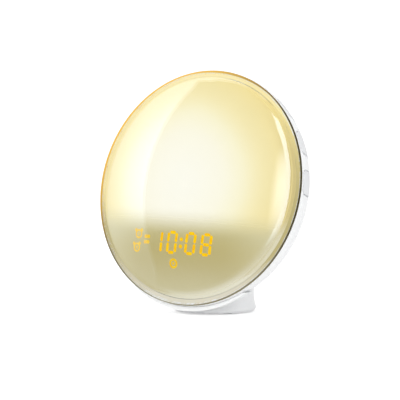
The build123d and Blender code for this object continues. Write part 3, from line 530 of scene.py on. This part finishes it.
innerPlastics = {
    "board_carrier": ("carrier plastic", {"color": (226, 226, 222), "shade": 0.2, "grain": 600.0, "rough": 0.5,
                                          "spread": 0.1, "dust": 0.1, "bump": 0.2, "depth": 0.0002}),
    "side_switches": ("switch black", {"color": (38, 38, 40), "shade": 0.2, "grain": 900.0, "rough": 0.45,
                                       "spread": 0.1, "dust": 0.1, "bump": 0.2, "depth": 0.0001}),
    "switch_plungers": ("plunger white", {"color": (228, 228, 222), "shade": 0.2, "grain": 900.0, "rough": 0.4,
                                          "spread": 0.1, "dust": 0.05, "bump": 0.1, "depth": 0.0001}),
    "control_chips": ("chip epoxy", {"color": (34, 34, 36), "shade": 0.4, "grain": 2600.0, "rough": 0.55,
                                     "spread": 0.15, "dust": 0.15, "bump": 0.5, "depth": 0.0001}),
    "speaker_gasket": ("gasket foam", {"color": (44, 44, 45), "shade": 0.5, "grain": 1100.0, "rough": 0.9,
                                       "spread": 0.1, "dust": 0.1, "bump": 1.0, "depth": 0.0004}),
    "speaker_cone": ("pressed paper", {"color": (52, 50, 48), "shade": 0.6, "grain": 1300.0, "rough": 0.85,
                                       "spread": 0.15, "dust": 0.2, "bump": 0.8, "depth": 0.0003}),
    "board_ribbon": ("ribbon gray", {"color": (168, 170, 172), "shade": 0.3, "grain": 700.0, "rough": 0.4,
                                     "spread": 0.1, "dust": 0.05, "bump": 0.2, "depth": 0.0001}),
    "sunrise_leds": ("led package", {"color": (250, 240, 190), "shade": 0.2, "grain": 1200.0, "rough": 0.3,
                                     "spread": 0.1, "dust": 0.0, "bump": 0.1, "depth": 0.0001}),
}
alike = {"side_switches": ("power_inlet",), "switch_plungers": ("usb_tongue", "ribbon_connectors"),
         "sunrise_leds": ("display_leds",)}
for piece, (label, look) in innerPlastics.items():
    dress(makePlastic(label, look), piece, *alike.get(piece, ()))

metals = {
    "screw zinc": ({"color": (190, 190, 192), "lines": 700.0, "rough": 0.3, "tarnish": 0.25, "bump": 0.2},
                   ("light_board_screws", "carrier_screws", "main_board_screws", "foot_screws")),
    "capacitor can": ({"color": (214, 216, 220), "lines": 500.0, "rough": 0.22, "tarnish": 0.1, "bump": 0.1},
                      ("power_capacitors",)),
    "contact brass": ({"color": (216, 178, 96), "lines": 600.0, "rough": 0.25, "tarnish": 0.3, "bump": 0.1},
                      ("power_inlet_pin",)),
    "nickel plate": ({"color": (208, 208, 206), "lines": 500.0, "rough": 0.24, "tarnish": 0.15, "bump": 0.1},
                     ("usb_socket", "cell_contacts")),
    "speaker steel": ({"color": (92, 92, 95), "lines": 300.0, "rough": 0.42, "tarnish": 0.2, "bump": 0.2},
                      ("speaker_frame",)),
    "magnet ferrite": ({"color": (80, 80, 82), "lines": 400.0, "rough": 0.5, "tarnish": 0.5, "bump": 0.4},
                       ("speaker_magnet",)),
    "cell steel": ({"color": (222, 222, 220), "lines": 350.0, "rough": 0.18, "tarnish": 0.1, "bump": 0.05},
                   ("backup_cell",)),
}
for label, (look, names) in metals.items():
    dress(makeMetal(label, look), *names)

boards = {
    "light_board": ("white board", {"mask": (232, 232, 226), "track": (206, 206, 198), "pitch": 150.0}),
    "main_board": ("green board", {"mask": (22, 92, 48), "track": (44, 122, 66), "pitch": 260.0}),
}
for piece, (label, look) in boards.items():
    dress(makeBoard(label, look), piece)


print("setting the studio")

studio = {
    "cardDistance": 3.0,
    "cardGrid": (24, 18),            # faces across and up a card
    "leanStart": -12,                # degrees of elevation from which a card's edge leans
    # lean is degrees of azimuth per degree of elevation, at the low and the high azimuth
    "leftBox": {"azimuth": (-125, -48), "elevation": (-35, 75), "lean": (0.0, -0.36), "reach": 1.0,
                "level": 1.55, "lowFade": (0.0, 0.6)},
    "strip": {"azimuth": (8.5, 38), "elevation": (-7, 66), "lean": (0.0, 0.0), "reach": 0.95,
              "level": 2.9, "lowFade": (-0.05, 0.2), "sideFade": (0.0, 0.25)},
    "flag": {"azimuth": (-48, 100), "elevation": (-40, 85), "lean": (-0.36, 0.0), "reach": 1.05,
             "level": 0.03, "lowFade": (0.0, 0.22), "frontFade": (0.33, 0.45), "frontShare": 0.85,
             "floorLevel": 0.97},
    "fillStrength": 0.66,
    # name, watts, width in m, place
    "lamps": (("top softbox", 2.5, 1.6, (-0.2, -0.3, 1.6)), ("right softbox", 4.0, 1.2, (1.5, -0.5, 0.45)),
              ("low front softbox", 5.0, 1.2, (-0.3, -1.5, 0.35))),
    "floorSize": 12,
    "floorGray": 0.9,
    "floorRough": 0.9,
    "floorLift": 0.4,
}


def makeCard(name, card):
    # a patch of a sphere round the face; azimuth 0 is in front and grows to the right
    across, tall = studio["cardGrid"]
    distance = studio["cardDistance"] * card["reach"]
    lowAz, highAz = card["azimuth"]
    lowEl, highEl = card["elevation"]
    leanLow, leanHigh = card["lean"]
    mesh = bpy.data.meshes.new(name)
    shape = bmesh.new()
    layer = shape.loops.layers.uv.new("card")
    rows = []
    for step in range(tall + 1):
        elevation = lowEl + (highEl - lowEl) * step / tall
        leaning = max(elevation - studio["leanStart"], 0)
        low = lowAz + leanLow * leaning
        high = highAz + leanHigh * leaning
        row = []
        for stop in range(across + 1):
            share = stop / across
            turn = math.radians(low + (high - low) * share)
            rise = math.radians(elevation)
            place = Vector((math.sin(turn) * math.cos(rise), -math.cos(turn) * math.cos(rise), math.sin(rise)))
            row.append((shape.verts.new(rimCentre + place * distance), share, step / tall))
        rows.append(row)
    for lower, upper in zip(rows, rows[1:]):
        for index in range(across):
            corners = [lower[index], lower[index + 1], upper[index + 1], upper[index]]
            face = shape.faces.new([corner[0] for corner in corners])
            for loop, corner in zip(face.loops, corners):
                loop[layer].uv = corner[1:]
    shape.to_mesh(mesh)
    shape.free()
    item = bpy.data.objects.new(name, mesh)
    scene.collection.objects.link(item)
    item.visible_camera = False
    item.visible_shadow = False
    return item


def cardMaterial(name, card, shading):
    # emission that fades by the card's own width and height, each 0 to 1
    material = bpy.data.materials.new(name)
    material.use_nodes = True
    tree = material.node_tree
    tree.nodes.clear()
    place = addNode(tree, "UVMap", uv_map="card").outputs[0]
    parts = addNode(tree, "SeparateXYZ", {0: place})
    strength = shading(tree, parts.outputs[0], parts.outputs[1], card)
    light = addNode(tree, "Emission", {"Strength": strength})
    tree.links.new(light.outputs[0], addNode(tree, "OutputMaterial").inputs[0])
    return material


def boxShade(tree, _, height, card):
    return maths(tree, "MULTIPLY", softStep(tree, height, *card["lowFade"]), card["level"])


def stripShade(tree, width, height, card):
    fade = maths(tree, "MULTIPLY", softStep(tree, width, *card["sideFade"]),
                 softStep(tree, height, *card["lowFade"]))
    return maths(tree, "MULTIPLY", fade, card["level"])


def flagShade(tree, width, height, card):
    # fades to the white floor at its lower edge
    below = maths(tree, "SUBTRACT", 1.0, softStep(tree, height, *card["lowFade"]))
    inFront = maths(tree, "MULTIPLY", softStep(tree, width, *card["frontFade"]), card["frontShare"])
    lit = maths(tree, "MULTIPLY", below, maths(tree, "SUBTRACT", 1.0, inFront))
    return maths(tree, "ADD", card["level"], maths(tree, "MULTIPLY", lit, card["floorLevel"]))


cards = {}
for key, name, label, shading in (("leftBox", "left softbox", "softbox light", boxShade),
                                  ("strip", "right strip", "strip light", stripShade),
                                  ("flag", "front flag", "black flag", flagShade)):
    cards[key] = makeCard(name, studio[key])
    cards[key].data.materials.append(cardMaterial(label, studio[key], shading))
cards["flag"].visible_diffuse = False
cards["flag"].visible_transmission = False

for name, watts, width, place in studio["lamps"]:
    # lamps shape the white parts only; the dome reflects the cards instead
    lamp = bpy.data.lights.new(name, "AREA")
    lamp.energy = watts
    lamp.size = width
    light = bpy.data.objects.new(name, lamp)
    light.location = place
    light.rotation_euler = (rimCentre - Vector(place)).to_track_quat("-Z", "Y").to_euler()
    light.visible_camera = False
    light.visible_glossy = False
    scene.collection.objects.link(light)


def whiteWhereSeen(tree, low, high):
    # the higher value for camera, glossy and transmission rays
    path = addNode(tree, "LightPath").outputs
    seen = maths(tree, "MAXIMUM", path["Is Camera Ray"],
                 maths(tree, "MAXIMUM", path["Is Glossy Ray"], path["Is Transmission Ray"]))
    return maths(tree, "ADD", low, maths(tree, "MULTIPLY", seen, high - low))


world = bpy.data.worlds.new("white studio")
scene.world = world
world.use_nodes = True
sky = world.node_tree.nodes["Background"]
sky.inputs["Color"].default_value = (1, 1, 1, 1)
world.node_tree.links.new(whiteWhereSeen(world.node_tree, studio["fillStrength"], 1.0), sky.inputs["Strength"])

bpy.ops.mesh.primitive_plane_add(size=studio["floorSize"])
floor = bpy.context.object
floor.name = "studio_floor"
floorMaterial, floorTree, floorShader = newMaterial("pale floor", Roughness=studio["floorRough"])
gray = studio["floorGray"]
floorShader["Base Color"].default_value = (gray, gray, gray, 1)
floorShader["Emission Color"].default_value = (1, 1, 1, 1)
floorTree.links.new(whiteWhereSeen(floorTree, 0.0, studio["floorLift"]), floorShader["Emission Strength"])
floor.data.materials.append(floorMaterial)
floor.visible_glossy = False


print("placing the camera")

view = {"azimuth": math.radians(33.88), "elevation": math.radians(5.81), "width": 0.2882,
        "right": -0.000576, "down": 0.008646, "distance": 0.9}

turn, rise = view["azimuth"], view["elevation"]
toCamera = Vector((math.sin(turn) * math.cos(rise), -math.cos(turn) * math.cos(rise), math.sin(rise)))
rightward = Vector((math.cos(turn), math.sin(turn), 0))
upward = Vector((-math.sin(turn) * math.sin(rise), math.cos(turn) * math.sin(rise), math.cos(rise)))
aim = rimCentre + rightward * view["right"] - upward * view["down"]
lens = bpy.data.cameras.new("camera")
lens.type = "ORTHO"
lens.ortho_scale = view["width"]
camera = bpy.data.objects.new("camera", lens)
camera.location = aim + toCamera * view["distance"]
camera.rotation_euler = (-toCamera).to_track_quat("-Z", "Y").to_euler()
scene.collection.objects.link(camera)
scene.camera = camera

scene.view_settings.view_transform = "Standard"
